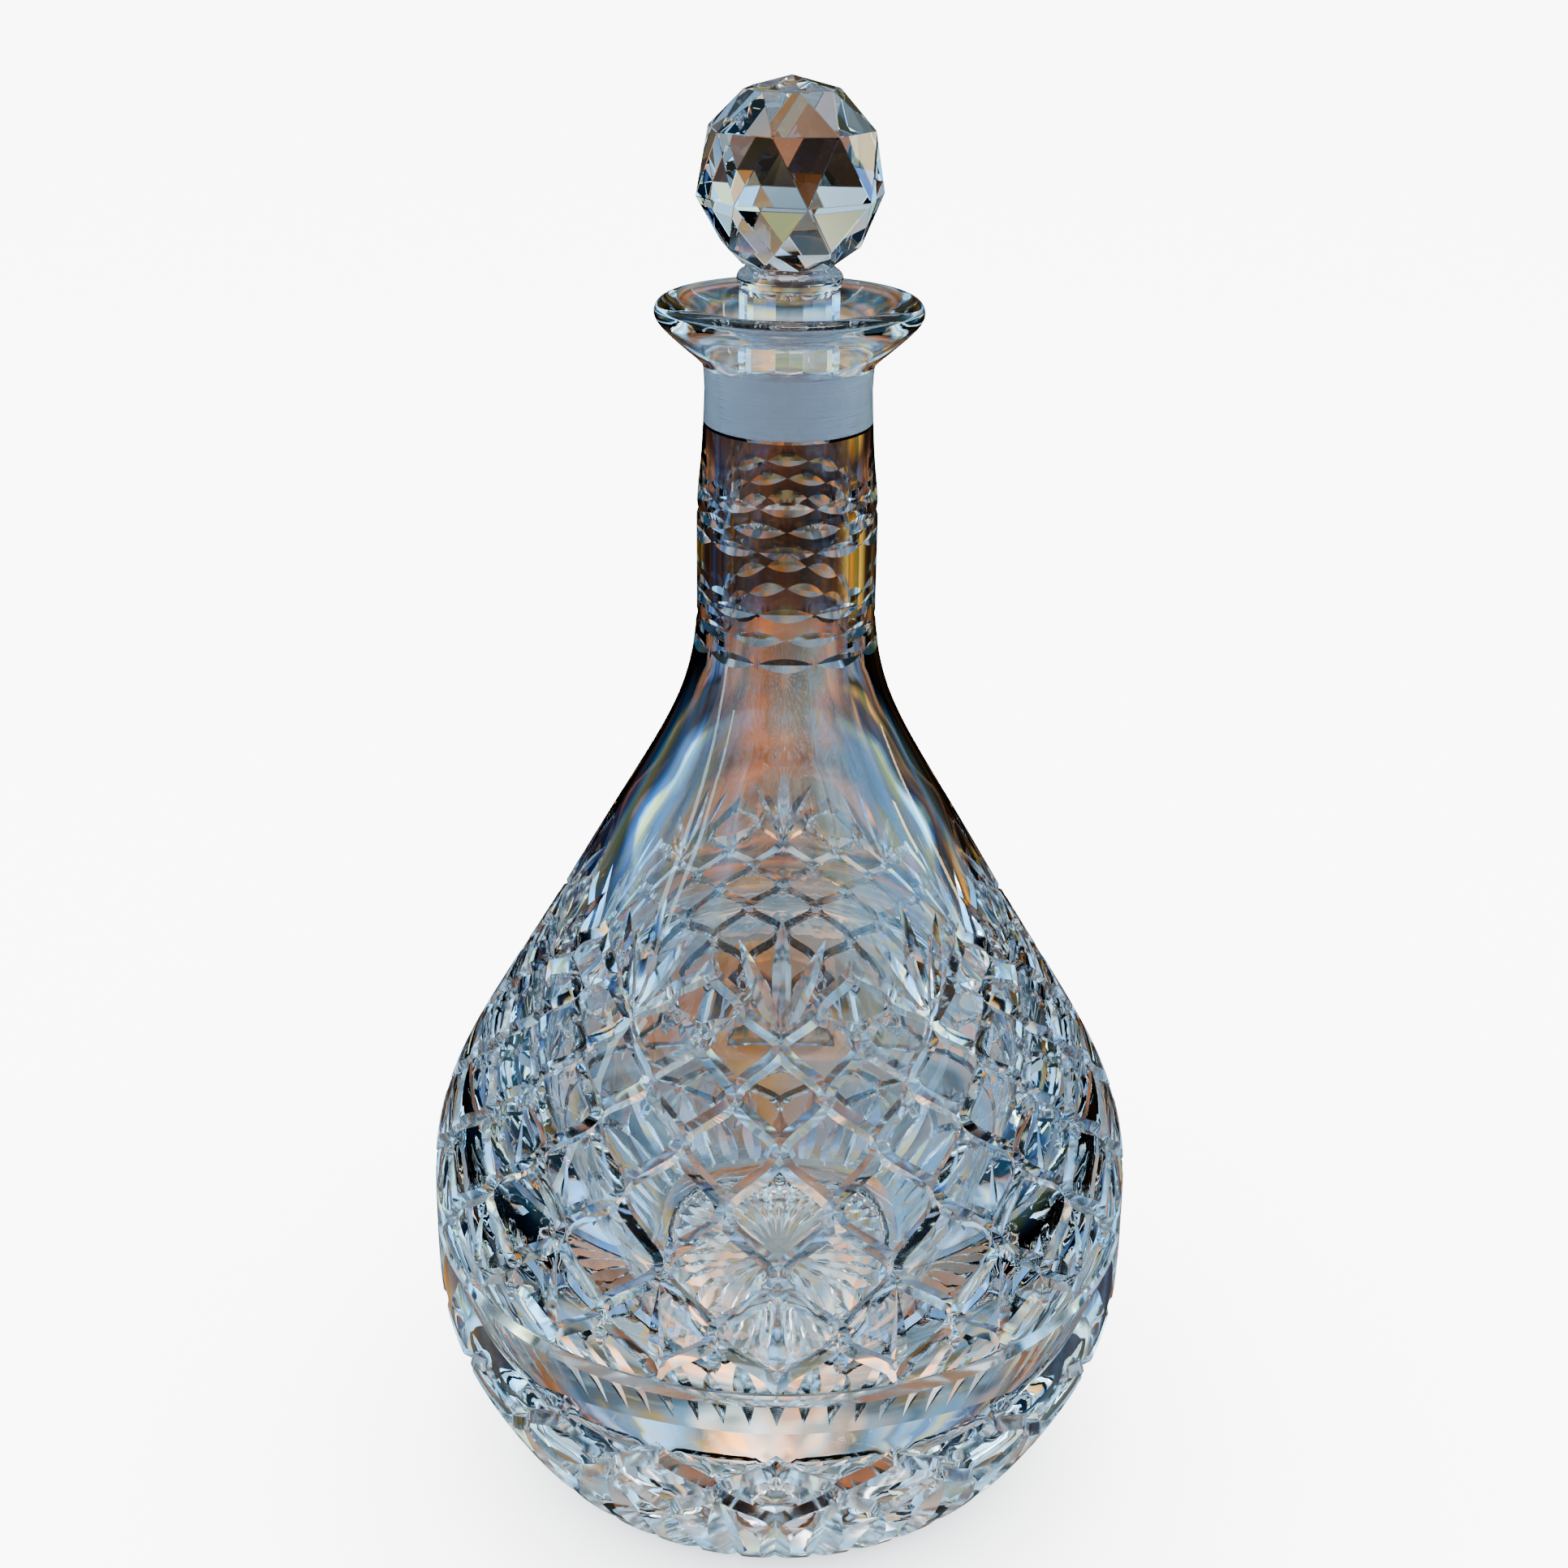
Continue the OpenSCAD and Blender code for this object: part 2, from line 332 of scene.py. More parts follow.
@dataclass(frozen=True)
class LeafCut:
    """A mitred leaf cut: pointed at both ends, deepest part way along."""

    start: Point  # turn in degrees, distance along the wall
    end: Point
    leaf: Leaf

    def _axis(self, strip: Strip) -> tuple[Array, Array, float]:
        """The leaf's axis on the flattened wall.

        Args:
            strip: The wall that is cut.

        Returns:
            Start, unit direction and length.
        """
        a = np.array([0.0, self.start[1]])
        turn = math.radians(self.end[0] - self.start[0])
        b = np.array([turn * float(strip.radius(np.array(self.end[1]))), self.end[1]])
        size = float(np.hypot(*(b - a)))
        return a, (b - a) / size, size

    def _fullness(self, t: Array) -> Array:
        """Share of the full width at a share t of the length: 1 - (2u - 1)^2 with u = t^lean."""
        u = np.clip(t, 0, 1) ** self.leaf.lean
        return 1 - (2 * u - 1) ** 2

    def sink(self, strip: Strip, turn: Array, s: Array) -> Array:
        """Depth of the cut at points of the wall.

        Formula: depth x (fullness - distance from the axis / half width), and never less than
        nought, so two planes meet along the leaf's axis.

        Args:
            strip: The wall that is cut.
            turn: Turns of the points, in degrees.
            s: Their distances along the wall.

        Returns:
            The depth at each point.
        """
        a, d, size = self._axis(strip)
        x = np.radians(turn - self.start[0]) * strip.radius(s) - a[0]
        y = s - a[1]
        t = (x * d[0] + y * d[1]) / size
        off = np.abs(x * d[1] - y * d[0])
        depth = self.leaf.depth * (self._fullness(t) - off / self.leaf.half_width)
        return np.where((t > 0) & (t < 1), np.maximum(depth, 0), 0)

    def lines(self, strip: Strip) -> list[Array]:
        """The leaf's two edges and its bottom.

        Args:
            strip: The wall that is cut.

        Returns:
            Three lines of [turn, distance] points.
        """
        a, d, size = self._axis(strip)
        t = np.linspace(0, 1, max(7, int(size / 1.6)))
        width = self._fullness(t) * self.leaf.half_width
        out = []
        for side in (-1.0, 0.0, 1.0):
            x = a[0] + t * size * d[0] - side * width * d[1]
            y = a[1] + t * size * d[1] + side * width * d[0]
            out.append(np.stack([self.start[0] + np.degrees(x / strip.radius(y)), y], axis=1))
        return out


@dataclass(frozen=True)
class RingCut:
    """A mitred groove that runs level around the body."""

    s: float
    half_width: float
    depth: float

    def sink(self, strip: Strip, turn: Array, s: Array) -> Array:
        """Depth of the cut: a V about its own distance along the wall."""
        return np.maximum(self.depth * (1 - np.abs(s - self.s) / self.half_width), 0)

    def lines(self, strip: Strip) -> list[Array]:
        """The groove's two edges and its bottom.

        Args:
            strip: The wall that is cut.

        Returns:
            Three level lines of [turn, distance] points.
        """
        turn = np.linspace(0, SECTOR, 13)
        return [
            np.stack([turn, np.full_like(turn, self.s + k * self.half_width)], axis=1)
            for k in (-1, 0, 1)
        ]


@dataclass(frozen=True)
class Lattice:
    """Mitred lines that climb both ways around the body and cross in diamonds.

    A line shifts by half a sector for each row; rows lie at the given distances along the wall.
    rising holds, for each line with a growing turn, its turn at row nought and the rows that it
    spans; falling holds the same for the lines that turn the other way.
    """

    rows: tuple[float, ...]
    row_s: tuple[float, ...]
    half_width: float
    depth: float
    rising: tuple[tuple[float, float, float], ...]
    falling: tuple[tuple[float, float, float], ...]
    taper: Point = (-99.0, -98.0)  # rows over which an odd line fades in

    PAST_END: ClassVar[float] = 1.2  # rows by which a groove may run out past its last crossing

    def row(self, s: Array) -> Array:
        """Row number at a distance along the wall, running on evenly past both ends.

        Args:
            s: Distances along the wall.

        Returns:
            Row numbers, whole at the rows' own distances.
        """
        order = np.argsort(self.row_s)
        x, y = np.array(self.row_s)[order], np.array(self.rows)[order]
        inner = smooth_between(x, y, np.clip(s, x[0], x[-1]))
        low = (y[1] - y[0]) / (x[1] - x[0]) * np.minimum(s - x[0], 0)
        high = (y[-1] - y[-2]) / (x[-1] - x[-2]) * np.maximum(s - x[-1], 0)
        return inner + low + high

    def _lean(self, strip: Strip, s: Array) -> Array:
        """Cosine of a line's angle from the upright."""
        rate = (self.row(s + 0.2) - self.row(s - 0.2)) / 0.4
        return 1 / np.sqrt(1 + (strip.radius(s) * np.radians(SECTOR / 2) * rate) ** 2)

    def _share(self, home: float, p: Array) -> Array:
        """Share of a line's full width at its rows.

        Args:
            home: The line's turn at row nought.
            p: Row numbers along it.

        Returns:
            One, or a share that grows over the taper for every other line.
        """
        if round(home / SECTOR) % 2:
            return np.clip((p - self.taper[0]) / (self.taper[1] - self.taper[0]), 0, 1)
        return np.ones_like(p)

    def sink(self, strip: Strip, turn: Array, s: Array) -> Array:
        """Depth of the cuts: the deepest of the V grooves that reach a point.

        Formula: for each line, depth x (share - distance from the line / half width).

        Args:
            strip: The wall that is cut.
            turn: Turns of the points, in degrees.
            s: Their distances along the wall.

        Returns:
            The depth at each point.
        """
        p = self.row(s)
        scale = np.radians(1.0) * strip.radius(s) * self._lean(strip, s)
        out = np.zeros_like(s)
        for sign, family in ((1.0, self.rising), (-1.0, self.falling)):
            for home, first, last in family:
                off = np.abs(turn - home - sign * SECTOR / 2 * p) * scale
                v = self.depth * (self._share(home, p) - off / self.half_width)
                live = (p > first - self.PAST_END) & (p < last + self.PAST_END)
                out = np.maximum(out, np.where(live, v, 0))
        return out

    def lines(self, strip: Strip) -> list[Array]:
        """Bottoms and edges of the grooves, and the short creases where they cross.

        Args:
            strip: The wall that is cut.

        Returns:
            Lines of [turn, distance] points.
        """
        out: list[Array] = []
        s = np.linspace(0, strip.length, int(strip.length / 0.3))
        p = self.row(s)
        lean = self._lean(strip, s)
        across = np.sqrt(np.maximum(1 - lean**2, 0))
        for sign, family in ((1.0, self.rising), (-1.0, self.falling)):
            for home, first, last in family:
                on = (p >= first - 0.25) & (p <= last + 0.25)
                width = self._share(home, p) * self.half_width
                for side in (-1.0, 0.0, 1.0):
                    turn = home + sign * SECTOR / 2 * p
                    x = turn + np.degrees(side * width * lean / strip.radius(s))
                    y = s + sign * side * width * across
                    out.append(np.stack([x, y], axis=1)[on & ((width > 0) | (side == 0))])
        order = np.argsort(p)
        for turn, row in self._crossings():
            s0 = float(np.interp(row, p[order], s[order]))
            c = float(np.interp(s0, s, lean))
            r = float(strip.radius(np.array(s0)))
            w = float(np.degrees(self.half_width / c / r))
            h = self.half_width / math.sqrt(1 - c * c)
            out.append(np.array([[turn - w, s0], [turn, s0], [turn + w, s0]]))
            out.append(np.array([[turn, s0 - h], [turn, s0], [turn, s0 + h]]))
        return out

    def _crossings(self) -> list[Point]:
        """Turn and row of each place in the half sector where two lines cross.

        Returns:
            The crossings, by rising line and then by falling line.
        """
        out = []
        for up, up_first, up_last in self.rising:
            for down, down_first, down_last in self.falling:
                row = (down - up) / SECTOR
                turn = up + SECTOR / 2 * row
                on_both = max(up_first, down_first) <= row <= min(up_last, down_last)
                if on_both and -0.1 <= turn <= SECTOR + 0.1:
                    out.append((turn, row))
        return out


Cut = LeafCut | RingCut | Lattice


def runs_inside(line: Array, top: float) -> list[Array]:
    """Cuts a line to the flattened half sector.

    Args:
        line: Line of [turn, distance] points.
        top: Length of the wall.

    Returns:
        The stretches of the line that lie in the half sector.
    """
    low, high = np.array([0.0, 0.0]), np.array([SECTOR, top])
    if len(line) < 2:
        return []
    t = along(line)
    count = max(len(line), int(t[-1] / 0.2))
    fine_t = np.unique(np.concatenate([np.linspace(0, t[-1], count), t]))
    fine = np.stack([np.interp(fine_t, t, line[:, k]) for k in (0, 1)], axis=1)
    near = np.all((fine >= low - 0.12) & (fine <= high + 0.12), axis=1)
    edge = np.flatnonzero(np.diff(np.concatenate([[0], near.astype(int), [0]])))
    out = []
    for a, b in zip(edge[::2], edge[1::2]):
        part = np.clip(fine[a:b], low, high)
        if b - a >= 2 and along(part)[-1] > 0.4:
            out.append(part)
    return out


@dataclass
class CutWall:
    """A band of the outer wall with its cuts, as triangles of one half sector."""

    strip: Strip
    cuts: list[Cut]
    spacing: float
    wide: float  # millimetres that a degree stands for while the triangles are drawn
    cut_from: float = 0.03  # depth from which a triangle has the finish of a cut
    clear_of_lines: float = 0.42  # least gap from a grid point to a line, in spacings

    def _guides(self) -> tuple[list[Array], float]:
        """Lines that edges of triangles must follow.

        Returns:
            Lines of [turn, distance] points, and the length of the wall.
        """
        top = self.strip.length
        turn = np.linspace(0, SECTOR, int(SECTOR / STEP_DEG) + 1)
        lines = [np.stack([turn, np.full_like(turn, s)], axis=1) for s in (0.0, top)]
        for cut in self.cuts:
            for line in cut.lines(self.strip):
                for run in runs_inside(line, top):
                    flat = run * [self.wide, 1.0]
                    t = along(flat)
                    n = max(2, int(round(t[-1] / self.spacing)) + 1)
                    even = np.linspace(0, t[-1], n)
                    lines.append(
                        np.stack([np.interp(even, t, run[:, k]) for k in (0, 1)], axis=1)
                    )
        return lines, top

    def triangles(self) -> tuple[Array, Array]:
        """Points [turn, distance] and triangles that follow every guide line.

        Formula: a Delaunay triangulation of an even grid of points, held to the guide lines.

        Returns:
            The points, and the triangles as rows of three indices.
        """
        lines, top = self._guides()
        points = np.concatenate(lines)
        links, start = [], 0
        for line in lines:
            links += [(start + i, start + i + 1) for i in range(len(line) - 1)]
            start += len(line)
        cols = int(SECTOR / STEP_DEG) + 1
        rows = max(2, int(top / self.spacing))
        gx, gy = np.meshgrid(np.linspace(0, SECTOR, cols), np.linspace(0, top, rows + 1))
        grid = np.stack([gx.ravel(), gy.ravel()], axis=1)
        scale = np.array([self.wide, 1.0])
        batch = 400
        gap = np.empty(len(grid))
        for i in range(0, len(grid), batch):
            d = grid[i : i + batch, None] * scale - points[None] * scale
            gap[i : i + batch] = np.sqrt((d**2).sum(axis=2).min(axis=1))
        grid = grid[gap > self.spacing * self.clear_of_lines]
        flat = np.concatenate([points, grid]) * scale
        verts, _, faces, *_ = delaunay_2d_cdt(
            [tuple(v) for v in flat.tolist()], links, [], 0, 1e-3
        )
        verts = np.array([tuple(v) for v in verts]) / scale
        seam = 2e-3  # degrees within which a point belongs to the edge of the half sector
        verts[:, 0] = np.where(verts[:, 0] < seam, 0.0, verts[:, 0])
        verts[:, 0] = np.where(verts[:, 0] > SECTOR - seam, SECTOR, verts[:, 0])
        faces = np.array([tuple(f) for f in faces if len(f) == 3], dtype=np.int64)
        a, b, c = (verts[faces[:, k]] for k in (0, 1, 2))
        ab, ac = b - a, c - a
        area = ab[:, 0] * ac[:, 1] - ab[:, 1] * ac[:, 0]
        return verts, faces[np.abs(area) > 1e-7]

    def sink(self, turn: Array, s: Array) -> Array:
        """Depth at points of the wall: the deepest of all the cuts.

        Args:
            turn: Turns of the points, in degrees.
            s: Their distances along the wall.

        Returns:
            The depth at each point.
        """
        out = np.zeros_like(s)
        for cut in self.cuts:
            out = np.maximum(out, cut.sink(self.strip, turn, s))
        return out

    def build(self) -> tuple[Array, Array, Array]:
        """All twenty half sectors, every other one mirrored, in space.

        Returns:
            Points, triangles, and the material index of each triangle.
        """
        flat, faces = self.triangles()
        depth = self.sink(flat[:, 0], flat[:, 1])
        middle = flat[faces].mean(axis=1)
        in_cut = self.sink(middle[:, 0], middle[:, 1]) > self.cut_from
        slot = np.where(in_cut, Surface.CUT.slot, Surface.POLISHED.slot)
        points, tris = [], []
        for k in range(REPEATS):
            for sign in (1, -1):
                turn = sign * flat[:, 0] + k * 2 * SECTOR
                tris.append((faces if sign > 0 else faces[:, ::-1]) + len(flat) * len(points))
                points.append(self.strip.place(turn, flat[:, 1], depth))
        return np.concatenate(points), np.concatenate(tris), np.tile(slot, len(tris))


def turned(line: Array, count: int = ROUND, close_end: bool = False) -> tuple[Array, Array]:
    """A profile carried once around +Z.

    Formula: point (i, j) is the profile's point i turned by j steps; faces join neighbours.

    Args:
        line: Profile as [radius, height] points in millimetres.
        count: Steps around.
        close_end: Whether to close the last ring with a point on the axis.

    Returns:
        Points in metres, and triangles whose fronts face right of the profile's direction.
    """
    a = np.radians(np.arange(count) * 360.0 / count)
    r, z = line[:, :1], line[:, 1:]
    points = np.stack([r * np.sin(a), -r * np.cos(a), np.broadcast_to(z, (len(line), count))], 2)
    points = points.reshape(-1, 3)
    i, j = np.meshgrid(np.arange(len(line) - 1), np.arange(count), indexing="ij")
    p, q = i * count + j, i * count + (j + 1) % count
    tris = np.concatenate(
        [
            np.stack([p, q, q + count], axis=2).reshape(-1, 3),
            np.stack([p, q + count, p + count], axis=2).reshape(-1, 3),
        ]
    )
    if close_end:
        points = np.concatenate([points, [[0.0, 0.0, line[-1, 1]]]])
        last = (len(line) - 1) * count + np.arange(count)
        nxt = (len(line) - 1) * count + (np.arange(count) + 1) % count
        cap = np.stack([last, nxt, np.full(count, len(points) - 1)], axis=1)
        tris = np.concatenate([tris, cap])
    return points * MM, tris


def into_mesh(name: str, parts: list[Patch], sharp_deg: float = 16.0) -> bpy.types.Object:
    """Joins surfaces into one closed, welded mesh object.

    Args:
        name: Name of the piece.
        parts: Points, triangles and material index of each surface.
        sharp_deg: Angle above which an edge is kept crisp.

    Returns:
        The new object, linked to the scene.
    """
    points = np.concatenate([p for p, _, _ in parts])
    starts = np.cumsum([0] + [len(p) for p, _, _ in parts])
    tris = np.concatenate([t + s for (_, t, _), s in zip(parts, starts)])
    slots = np.concatenate([np.broadcast_to(m, len(t)) for _, t, m in parts]).astype(np.int32)
    mesh = bpy.data.meshes.new(name)
    mesh.from_pydata(points.tolist(), [], tris.tolist())
    mesh.polygons.foreach_set("material_index", slots)
    bm = bmesh.new()
    bm.from_mesh(mesh)
    bmesh.ops.remove_doubles(bm, verts=bm.verts, dist=4e-6)
    bmesh.ops.dissolve_degenerate(bm, edges=bm.edges, dist=1e-6)
    bmesh.ops.recalc_face_normals(bm, faces=bm.faces)
    open_edges = sum(1 for e in bm.edges if len(e.link_faces) != 2)
    LOG.info("%s: %d triangles, %d edges not shared by two", name, len(bm.faces), open_edges)
    bm.to_mesh(mesh)
    bm.free()
    mesh.shade_smooth()
    mesh.set_sharp_from_angle(angle=math.radians(sharp_deg))
    return stand(name, mesh)


def stand(name: str, data: bpy.types.ID) -> bpy.types.Object:
    """Puts a mesh, lamp or camera into the scene.

    Args:
        name: Name of the object.
        data: What the object shows.

    Returns:
        The new object, at the origin.
    """
    item = bpy.data.objects.new(name, data)
    bpy.context.scene.collection.objects.link(item)
    return item


# ---------------------------------------------------------------- node trees


class NodeWriter:
    """Writes a node tree: new nodes with their socket values, and links between them."""

    def __init__(self, tree: bpy.types.NodeTree) -> None:
        """Keeps the tree that is written."""
        self.tree = tree

    def add(self, kind: str, values: dict[str, object] | None = None) -> bpy.types.Node:
        """A new node.

        Args:
            kind: The node's type, without the word that all shader nodes start with.
            values: Values of input sockets, by the sockets' names.

        Returns:
            The node.
        """
        node = self.tree.nodes.new("ShaderNode" + kind)
        for socket, value in (values or {}).items():
            node.inputs[socket].default_value = value
        return node

    def link(self, source: bpy.types.NodeSocket, target: bpy.types.NodeSocket) -> None:
        """Links an output to an input."""
        self.tree.links.new(source, target)

    def ranged(self, source: bpy.types.NodeSocket, old: Point, new: Point) -> bpy.types.NodeSocket:
        """A value carried from one range to another, and held at its ends.

        Args:
            source: The value.
            old: Where the first range starts and ends.
            new: Where the second range starts and ends.

        Returns:
            The new value's output.
        """
        node = self.add("MapRange", {
            "From Min": old[0], "From Max": old[1], "To Min": new[0], "To Max": new[1],
        })
        self.link(source, node.inputs["Value"])
        return node.outputs["Result"]

    def ramp(self, source: bpy.types.NodeSocket, ends: Point, stops: Stops) -> bpy.types.NodeSocket:
        """Colours laid along a value.

        Args:
            source: The value.
            ends: The values at the ramp's ends.
            stops: Values and their colours, from the low end to the high one.

        Returns:
            The colour's output.
        """
        node = self.add("ValToRGB")
        self.link(self.ranged(source, ends, (0.0, 1.0)), node.inputs["Fac"])
        bar = node.color_ramp.elements
        spots = [((v - ends[0]) / (ends[1] - ends[0]), colour) for v, colour in stops]
        for item, (spot, colour) in zip((bar[0], bar[1]), (spots[0], spots[-1])):
            item.position, item.color = spot, (*colour, 1)
        for spot, colour in spots[1:-1]:
            bar.new(spot).color = (*colour, 1)
        return node.outputs["Color"]

    def mixed(self, share: bpy.types.NodeSocket, first: bpy.types.NodeSocket,
              second: bpy.types.NodeSocket) -> bpy.types.NodeSocket:
        """One colour fading into another.

        Args:
            share: Share of the second colour.
            first: The colour at a share of nought.
            second: The colour at a share of one.

        Returns:
            The mixed colour's output.
        """
        node = self.add("Mix")
        node.data_type = "RGBA"
        self.link(share, node.inputs["Factor"])
        self.link(first, node.inputs["A"])
        self.link(second, node.inputs["B"])
        return node.outputs["Result"]


# ---------------------------------------------------------------- finishes


class Surface(Enum):
    """How a face of the glass was finished."""

    POLISHED = 0
    GROUND = 1
    CUT = 2

    @property
    def slot(self) -> int:
        """Place of the finish in a piece's list of materials."""
        return self.value


@dataclass(frozen=True)
class Crystal:
    """Clear lead crystal, polished or ground."""

    name: str
    surface: Surface
    tint: tuple[float, float, float]
    roughness: tuple[float, float]
    ior: float = 1.54
    clear: float = 1.0
    wave_size: float = 9.0
    wave_height: float = 0.00002
    smear_scale: float = 70.0

    def make(self) -> bpy.types.Material:
        """The finish as nodes: see-through glass with faint waves, smears or grinding lines.

        Returns:
            The material.
        """
        mat = bpy.data.materials.new(self.name)
        mat.use_nodes = True
        pen = NodeWriter(mat.node_tree)
        glass = mat.node_tree.nodes["Principled BSDF"]
        glass.inputs["Base Color"].default_value = (*self.tint, 1)
        glass.inputs["IOR"].default_value = self.ior
        glass.inputs["Transmission Weight"].default_value = self.clear
        where = pen.add("TexCoord").outputs["Object"]
        smear = pen.add("TexNoise", {"Scale": self.smear_scale, "Detail": 3.0})
        pen.link(where, smear.inputs["Vector"])
        rough = pen.ranged(smear.outputs["Fac"], (0.35, 0.75), self.roughness)
        pen.link(rough, glass.inputs["Roughness"])
        if self.surface is Surface.GROUND:
            stretch = pen.add("Mapping", {"Scale": (60, 60, 2600)})
            wave = pen.add("TexNoise", {"Scale": 1.0, "Detail": 4.0})
        else:
            stretch = pen.add("Mapping", {"Scale": (1, 1, 0.6)})
            wave = pen.add("TexNoise", {"Scale": 1 / (self.wave_size * MM), "Detail": 1.0})
        pen.link(where, stretch.inputs["Vector"])
        pen.link(stretch.outputs["Vector"], wave.inputs["Vector"])
        bump = pen.add("Bump", {"Strength": 1.0, "Distance": self.wave_height})
        pen.link(wave.outputs["Fac"], bump.inputs["Height"])
        pen.link(bump.outputs["Normal"], glass.inputs["Normal"])
        return mat


POLISHED = Crystal("polished_crystal", Surface.POLISHED, (0.985, 0.992, 1.0), (0.0, 0.025))
GROUND = Crystal(
    "ground_crystal", Surface.GROUND, (0.92, 0.91, 1.0), (0.32, 0.45), clear=0.45,
    wave_height=0.00008,
)
CUT = Crystal(
    "wheel_cut_crystal", Surface.CUT, (0.985, 0.992, 1.0), (0.06, 0.13), wave_height=0.00001
)


# ---------------------------------------------------------------- the two pieces of glass


@dataclass
class Body:
    """The one-piece cut glass body."""

    outline: Outline = field(default_factory=Outline)
    lattice_groove: Leaf = Leaf(1.5, 1.3)
    heel_groove: Leaf = Leaf(1.9, 1.45)
    ring_groove: Leaf = Leaf(1.5, 1.2)
    fan_middle: Leaf = Leaf(1.7, 1.3, 0.9)
    fan_side: Leaf = Leaf(1.6, 1.2, 0.9)
    point_spear: Leaf = Leaf(1.5, 1.3, 2.0)
    arch_spear: Leaf = Leaf(1.2, 1.1, 1.5)
    heel_long: Leaf = Leaf(3.2, 2.2)
    heel_short: Leaf = Leaf(3.0, 2.0)
    neck_lens: Leaf = Leaf(1.35, 0.5)
    long_ray: Leaf = Leaf(2.6, 2.4, 1.2)
    short_ray: Leaf = Leaf(2.2, 2.0, 1.2)
    # heights of the rows of crossings, from the tops of the arches to the points above the ring
    rows: tuple[Point, ...] = (
        (-2, 127.7), (-1, 122.3), (0, 116.8), (1, 109.0), (2, 101.0), (3, 91.6), (4, 81.6),
        (5, 71.0), (6, 60.8),
    )
    heel_rows: tuple[Point, ...] = ((0, 43.5), (1, 36.0), (2, 26.0))
    # heights of the tops of the long and the short heel leaves, and of their feet
    heel_leaf_z: tuple[float, float, float] = (34.5, 25.0, 1.0)
    ring_z: float = 58.0
    leaf_root: Point = (1.2, 0.6)  # from a fan's crossing up to its middle and side leaves
    leaf_tip_z: Point = (136.5, 133.0)
    leaf_turn: float = 12.0
    # how far the spears' roots and tips lie from the crossings above and below them
    point_spear_ends: Point = (-0.8, 0.4)
    arch_spear_ends: Point = (-1.0, -8.2)
    low_band: tuple[float, ...] = (176.9, 181.5, 186.1)
    high_band: tuple[float, ...] = (197.5, 201.4, 205.3)
    lens_reach: float = 0.97  # half the length of a lens, in half sectors
    ray_starts: Point = (0.5, 5.0)  # of the long and short rays, outwards from the flat middle
    ray_end: float = 28.5

    def _crossed_lines(self, strip: Strip) -> tuple[Lattice, Lattice]:
        """The lattice of shoulder and belly, and the heel's zigzag.

        Args:
            strip: The outer wall.

        Returns:
            Both sets of crossing grooves.
        """
        groove, low = self.lattice_groove, self.heel_groove
        lattice = Lattice(
            *strip.rows_at(self.rows), groove.half_width, groove.depth,
            rising=((0, -0.01, 2), (18, -0.9, 0), (-18, 2, 4), (-36, 4, 6)),
            falling=((0, -2, 0), (18, 0, 2), (36, 2, 4), (54, 4, 6)),
            taper=(-0.84, -0.3),
        )
        heel = Lattice(
            *strip.rows_at(self.heel_rows), low.half_width, low.depth,
            rising=((0, 0, 2),),
            falling=((18, 0, 2),),
        )
        return lattice, heel

    def _side_cuts(self, strip: Strip) -> list[Cut]:
        """Lattice, fans, spears, ring and heel cuts of the outer wall.

        Args:
            strip: The outer wall.

        Returns:
            The cuts of one half sector.
        """
        lattice, heel = self._crossed_lines(strip)
        crossing = dict(zip(lattice.rows, lattice.row_s))
        top, arch, low, bottom = crossing[0], crossing[5], crossing[4], crossing[6]
        tips = [float(strip.at_height(np.array(z))) for z in self.leaf_tip_z]
        long_s, short_s, foot_s = [float(strip.at_height(np.array(z))) for z in self.heel_leaf_z]
        spear = (low + self.point_spear_ends[0], bottom + self.point_spear_ends[1])
        half = SECTOR / 2
        return [
            lattice,
            heel,
            LeafCut((0, top + self.leaf_root[0]), (0, tips[0]), self.fan_middle),
            LeafCut((0, top + self.leaf_root[1]), (self.leaf_turn, tips[1]), self.fan_side),
            LeafCut((0, spear[0]), (0, spear[1]), self.point_spear),
            LeafCut((SECTOR, spear[0]), (SECTOR, spear[1]), self.point_spear),
            LeafCut(
                (half, arch + self.arch_spear_ends[0]), (half, arch + self.arch_spear_ends[1]),
                self.arch_spear,
            ),
            RingCut(
                float(strip.at_height(np.array(self.ring_z))), self.ring_groove.half_width,
                self.ring_groove.depth,
            ),
            LeafCut((half, long_s), (half, foot_s), self.heel_long),
            LeafCut((0, short_s), (0, foot_s), self.heel_short),
            LeafCut((SECTOR, short_s), (SECTOR, foot_s), self.heel_short),
        ]

    def _neck_cuts(self, strip: Strip, heights: tuple[float, ...]) -> list[Cut]:
        """Level lens cuts of a neck band, each row turned by half a lens from the next.

        Args:
            strip: The wall that holds the band.
            heights: Heights of the rows.

        Returns:
            The cuts that reach into one half sector.
        """
        cuts: list[Cut] = []
        reach = SECTOR * self.lens_reach
        for k, z in enumerate(heights):
            s = float(strip.at_height(np.array(z)))
            turns = (SECTOR, -SECTOR) if k % 2 else (0.0, 2 * SECTOR)
            for turn in turns:
                cuts.append(LeafCut((turn - reach, s), (turn + reach, s), self.neck_lens))
        return cuts

    def _star(self) -> list[Cut]:
        """The star under the base: a long ray between two short ones in each half sector."""
        long_s, short_s = self.ray_starts
        return [
            LeafCut((SECTOR / 2, long_s), (SECTOR / 2, self.ray_end), self.long_ray),
            LeafCut((0, short_s), (0, self.ray_end), self.short_ray),
            LeafCut((SECTOR, short_s), (SECTOR, self.ray_end), self.short_ray),
        ]

